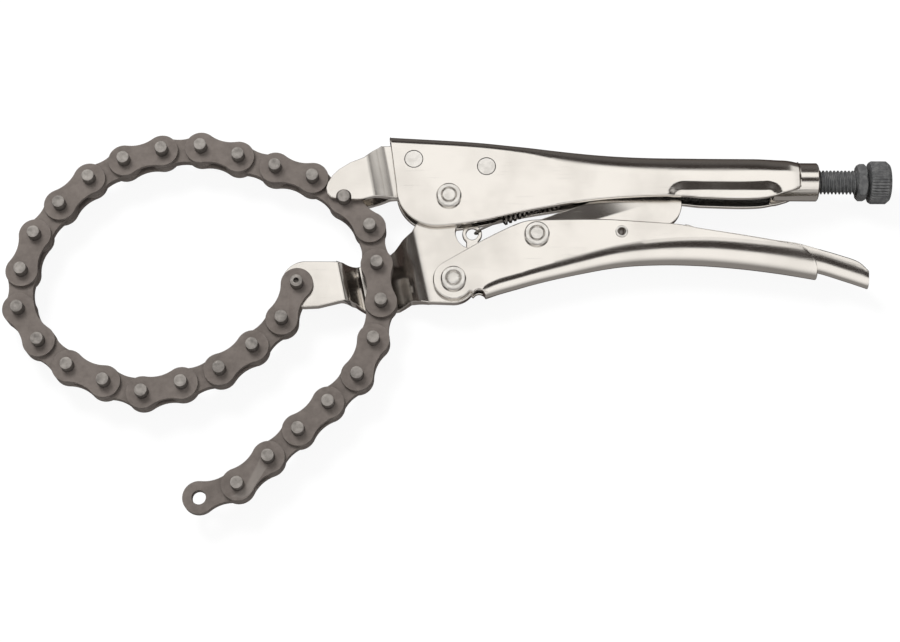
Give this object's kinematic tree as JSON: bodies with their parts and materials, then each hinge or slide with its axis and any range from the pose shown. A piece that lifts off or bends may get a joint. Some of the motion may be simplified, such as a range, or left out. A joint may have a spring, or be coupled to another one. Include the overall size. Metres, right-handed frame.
{
  "type": "locking chain pliers",
  "caption": "Locking chain pliers with stamped handles, a toggle link, an adjusting screw with a knurled knob, and a leaf chain looped back into the hooked jaw.",
  "frame": {"origin": "under the middle of the whole tool as pictured, at the level of its lowest face", "axes": "+X along the handles towards the knob, +Y towards the upper handle's spine, +Z out of the tool's side towards the viewer, along every pivot"},
  "size_m": [0.3572, 0.1574, 0.0218],
  "materials": {
    "nickel_plate": "bright nickel plate",
    "rivet_steel": "turned and plated",
    "spring_steel": "drawn wire",
    "black_oxide": "black oxide",
    "chain_steel": "oiled phosphate"
  },
  "bodies": {
    "handle": {"upper_handle": "nickel_plate", "hook_plate_top": "nickel_plate", "hook_plate_bottom": "nickel_plate", "jaw_rivets": "rivet_steel", "jaw_pivot_rivet": "rivet_steel", "spring_anchor": "nickel_plate", "return_spring": "spring_steel"},
    "lower_jaw": {"lower_jaw": "nickel_plate"},
    "lever": {"lower_lever": "nickel_plate", "lever_pivot_rivet": "rivet_steel", "link_pivot_rivet": "rivet_steel", "release_rivet": "rivet_steel"},
    "link": {"toggle_link": "nickel_plate"},
    "release": {"release_lever": "nickel_plate"},
    "screw": {"adjusting_screw": "black_oxide"},
    "nut": {"lock_nut": "black_oxide"},
    "knob": {"knurled_knob": "black_oxide"},
    "chain_01": {"chain_link_01": "chain_steel"},
    "chain_02": {"chain_link_02": "chain_steel"},
    "chain_03": {"chain_link_03": "chain_steel"},
    "chain_04": {"chain_link_04": "chain_steel"},
    "chain_05": {"chain_link_05": "chain_steel"},
    "chain_06": {"chain_link_06": "chain_steel"},
    "chain_07": {"chain_link_07": "chain_steel"},
    "chain_08": {"chain_link_08": "chain_steel"},
    "chain_09": {"chain_link_09": "chain_steel"},
    "chain_10": {"chain_link_10": "chain_steel"},
    "chain_11": {"chain_link_11": "chain_steel"},
    "chain_12": {"chain_link_12": "chain_steel"},
    "chain_13": {"chain_link_13": "chain_steel"},
    "chain_14": {"chain_link_14": "chain_steel"},
    "chain_15": {"chain_link_15": "chain_steel"},
    "chain_16": {"chain_link_16": "chain_steel"},
    "chain_17": {"chain_link_17": "chain_steel"},
    "chain_18": {"chain_link_18": "chain_steel"},
    "chain_19": {"chain_link_19": "chain_steel"},
    "chain_20": {"chain_link_20": "chain_steel"},
    "chain_21": {"chain_link_21": "chain_steel"},
    "chain_22": {"chain_link_22": "chain_steel"},
    "chain_23": {"chain_link_23": "chain_steel"},
    "chain_24": {"chain_link_24": "chain_steel"},
    "chain_25": {"chain_link_25": "chain_steel"},
    "chain_26": {"chain_link_26": "chain_steel"},
    "chain_27": {"chain_link_27": "chain_steel"},
    "chain_28": {"chain_link_28": "chain_steel"},
    "chain_29": {"chain_link_29": "chain_steel"},
    "chain_30": {"chain_link_30": "chain_steel"}
  },
  "joints": [
    {"name": "jaw_pivot", "type": "hinge", "parent": "handle", "child": "lower_jaw", "pos_m": [-0.00074, 0.05157, 0.013], "axis": [0, 0, 1], "range_deg": [0, 8], "deforming": ["return_spring"]},
    {"name": "lever_pivot", "type": "hinge", "parent": "lower_jaw", "child": "lever", "pos_m": [0.00126, 0.01657, 0.013], "axis": [0, 0, 1], "range_deg": [-36.2, 0]},
    {"name": "link_pivot", "type": "hinge", "parent": "lever", "child": "link", "pos_m": [0.03476, 0.03557, 0.013], "axis": [0, 0, 1], "range_deg": [0, 47.4]},
    {"name": "release_pivot", "type": "hinge", "parent": "lever", "child": "release", "pos_m": [0.06886, 0.03657, 0.013], "axis": [0, 0, 1], "range_deg": [0, 5]},
    {"name": "knob_turn", "type": "hinge", "parent": "screw", "child": "knob", "pos_m": [0.17426, 0.05997, 0.013], "axis": [1, 0, 0], "range_deg": [0, 2880]},
    {"name": "screw_travel", "type": "slide", "parent": "handle", "child": "screw", "axis": [1, 0, 0], "range_m": [0, 0.014]},
    {"name": "nut_turn", "type": "hinge", "parent": "screw", "child": "nut", "pos_m": [0.16726, 0.05997, 0.013], "axis": [1, 0, 0], "continuous": true},
    {"name": "chain_flex", "type": "hinge", "parent": "lower_jaw", "child": "chain_01", "pos_m": [-0.06134, 0.01447, 0.013], "axis": [0, 0, 1], "range_deg": [-12, 12]},
    {"name": "chain_joint_02", "type": "hinge", "parent": "chain_01", "child": "chain_02", "pos_m": [-0.06703, -0.00035, 0.013], "axis": [0, 0, 1], "range_deg": [-12.5, 12.5]},
    {"name": "chain_joint_03", "type": "hinge", "parent": "chain_02", "child": "chain_03", "pos_m": [-0.07825, -0.01158, 0.013], "axis": [0, 0, 1], "range_deg": [-12.5, 12.5]},
    {"name": "chain_joint_04", "type": "hinge", "parent": "chain_03", "child": "chain_04", "pos_m": [-0.09093, -0.02113, 0.013], "axis": [0, 0, 1], "range_deg": [-12.5, 12.5]},
    {"name": "chain_joint_05", "type": "hinge", "parent": "chain_04", "child": "chain_05", "pos_m": [-0.10575, -0.02682, 0.013], "axis": [0, 0, 1], "range_deg": [-12.5, 12.5]},
    {"name": "chain_joint_06", "type": "hinge", "parent": "chain_05", "child": "chain_06", "pos_m": [-0.12115, -0.03066, 0.013], "axis": [0, 0, 1], "range_deg": [-12.5, 12.5]},
    {"name": "chain_joint_07", "type": "hinge", "parent": "chain_06", "child": "chain_07", "pos_m": [-0.13641, -0.02629, 0.013], "axis": [0, 0, 1], "range_deg": [-12.5, 12.5]},
    {"name": "chain_joint_08", "type": "hinge", "parent": "chain_07", "child": "chain_08", "pos_m": [-0.15103, -0.02008, 0.013], "axis": [0, 0, 1], "range_deg": [-12.5, 12.5]},
    {"name": "chain_joint_09", "type": "hinge", "parent": "chain_08", "child": "chain_09", "pos_m": [-0.16319, -0.00988, 0.013], "axis": [0, 0, 1], "range_deg": [-12.5, 12.5]},
    {"name": "chain_joint_10", "type": "hinge", "parent": "chain_09", "child": "chain_10", "pos_m": [-0.17206, 0.00328, 0.013], "axis": [0, 0, 1], "range_deg": [-12.5, 12.5]},
    {"name": "chain_joint_11", "type": "hinge", "parent": "chain_10", "child": "chain_11", "pos_m": [-0.17179, 0.01916, 0.013], "axis": [0, 0, 1], "range_deg": [-12.5, 12.5]},
    {"name": "chain_joint_12", "type": "hinge", "parent": "chain_11", "child": "chain_12", "pos_m": [-0.16741, 0.03442, 0.013], "axis": [0, 0, 1], "range_deg": [-12.5, 12.5]},
    {"name": "chain_joint_13", "type": "hinge", "parent": "chain_12", "child": "chain_13", "pos_m": [-0.15808, 0.04726, 0.013], "axis": [0, 0, 1], "range_deg": [-12.5, 12.5]},
    {"name": "chain_joint_14", "type": "hinge", "parent": "chain_13", "child": "chain_14", "pos_m": [-0.14685, 0.05848, 0.013], "axis": [0, 0, 1], "range_deg": [-12.5, 12.5]},
    {"name": "chain_joint_15", "type": "hinge", "parent": "chain_14", "child": "chain_15", "pos_m": [-0.13311, 0.06642, 0.013], "axis": [0, 0, 1], "range_deg": [-12.5, 12.5]},
    {"name": "chain_joint_16", "type": "hinge", "parent": "chain_15", "child": "chain_16", "pos_m": [-0.11785, 0.0708, 0.013], "axis": [0, 0, 1], "range_deg": [-12.5, 12.5]},
    {"name": "chain_joint_17", "type": "hinge", "parent": "chain_16", "child": "chain_17", "pos_m": [-0.10203, 0.07218, 0.013], "axis": [0, 0, 1], "range_deg": [-12.5, 12.5]},
    {"name": "chain_joint_18", "type": "hinge", "parent": "chain_17", "child": "chain_18", "pos_m": [-0.08663, 0.06834, 0.013], "axis": [0, 0, 1], "range_deg": [-12.5, 12.5]},
    {"name": "chain_joint_19", "type": "hinge", "parent": "chain_18", "child": "chain_19", "pos_m": [-0.07145, 0.0637, 0.013], "axis": [0, 0, 1], "range_deg": [-12.5, 12.5]},
    {"name": "chain_joint_20", "type": "hinge", "parent": "chain_19", "child": "chain_20", "pos_m": [-0.05619, 0.05932, 0.013], "axis": [0, 0, 1], "range_deg": [-12.5, 12.5]},
    {"name": "chain_joint_21", "type": "hinge", "parent": "chain_20", "child": "chain_21", "pos_m": [-0.04318, 0.05022, 0.013], "axis": [0, 0, 1], "range_deg": [-12.5, 12.5]},
    {"name": "chain_joint_22", "type": "hinge", "parent": "chain_21", "child": "chain_22", "pos_m": [-0.03256, 0.03842, 0.013], "axis": [0, 0, 1], "range_deg": [-3, 1]},
    {"name": "chain_joint_23", "type": "hinge", "parent": "chain_22", "child": "chain_23", "pos_m": [-0.02953, 0.02284, 0.013], "axis": [0, 0, -1], "range_deg": [-3, 6]},
    {"name": "chain_joint_24", "type": "hinge", "parent": "chain_23", "child": "chain_24", "pos_m": [-0.0276, 0.00708, 0.013], "axis": [0, 0, 1], "range_deg": [-10, 25]},
    {"name": "chain_joint_25", "type": "hinge", "parent": "chain_24", "child": "chain_25", "pos_m": [-0.03035, -0.00855, 0.013], "axis": [0, 0, -1], "range_deg": [-25, 12]},
    {"name": "chain_joint_26", "type": "hinge", "parent": "chain_25", "child": "chain_26", "pos_m": [-0.03656, -0.02317, 0.013], "axis": [0, 0, 1], "range_deg": [-15, 25]},
    {"name": "chain_joint_27", "type": "hinge", "parent": "chain_26", "child": "chain_27", "pos_m": [-0.04778, -0.03439, 0.013], "axis": [0, 0, -1], "range_deg": [-25, 25]},
    {"name": "chain_joint_28", "type": "hinge", "parent": "chain_27", "child": "chain_28", "pos_m": [-0.0592, -0.04542, 0.013], "axis": [0, 0, 1], "range_deg": [-30, 30]},
    {"name": "chain_joint_29", "type": "hinge", "parent": "chain_28", "child": "chain_29", "pos_m": [-0.07062, -0.05645, 0.013], "axis": [0, 0, -1], "range_deg": [-30, 30]},
    {"name": "chain_joint_30", "type": "hinge", "parent": "chain_29", "child": "chain_30", "pos_m": [-0.08223, -0.06727, 0.013], "axis": [0, 0, 1], "range_deg": [-40, 40]}
  ],
  "couplings": [
    {"joint": "lever_pivot", "follows": "jaw_pivot", "ratio": -4.525},
    {"joint": "link_pivot", "follows": "jaw_pivot", "ratio": 5.925},
    {"joint": "screw_travel", "follows": "knob_turn", "m_per_rad": 0.00023873},
    {"joint": "chain_joint_02", "follows": "chain_flex", "ratio": 0.9846},
    {"joint": "chain_joint_03", "follows": "chain_flex", "ratio": 0.6604},
    {"joint": "chain_joint_04", "follows": "chain_flex", "ratio": 0.0817},
    {"joint": "chain_joint_05", "follows": "chain_flex", "ratio": -0.5362},
    {"joint": "chain_joint_06", "follows": "chain_flex", "ratio": -0.9397},
    {"joint": "chain_joint_07", "follows": "chain_flex", "ratio": -0.9968},
    {"joint": "chain_joint_08", "follows": "chain_flex", "ratio": -0.6992},
    {"joint": "chain_joint_09", "follows": "chain_flex", "ratio": -0.1753},
    {"joint": "chain_joint_10", "follows": "chain_flex", "ratio": 0.3871},
    {"joint": "chain_joint_11", "follows": "chain_flex", "ratio": 0.8329},
    {"joint": "chain_joint_12", "follows": "chain_flex", "ratio": 1.027},
    {"joint": "chain_joint_13", "follows": "chain_flex", "ratio": 0.8534},
    {"joint": "chain_joint_14", "follows": "chain_flex", "ratio": 0.3215},
    {"joint": "chain_joint_15", "follows": "chain_flex", "ratio": -0.3368},
    {"joint": "chain_joint_16", "follows": "chain_flex", "ratio": -0.8166},
    {"joint": "chain_joint_17", "follows": "chain_flex", "ratio": -0.9416},
    {"joint": "chain_joint_18", "follows": "chain_flex", "ratio": -0.7358},
    {"joint": "chain_joint_19", "follows": "chain_flex", "ratio": -0.3535},
    {"joint": "chain_joint_20", "follows": "chain_flex", "ratio": 0.0116},
    {"joint": "chain_joint_21", "follows": "chain_flex", "ratio": 0.3712}
  ]
}
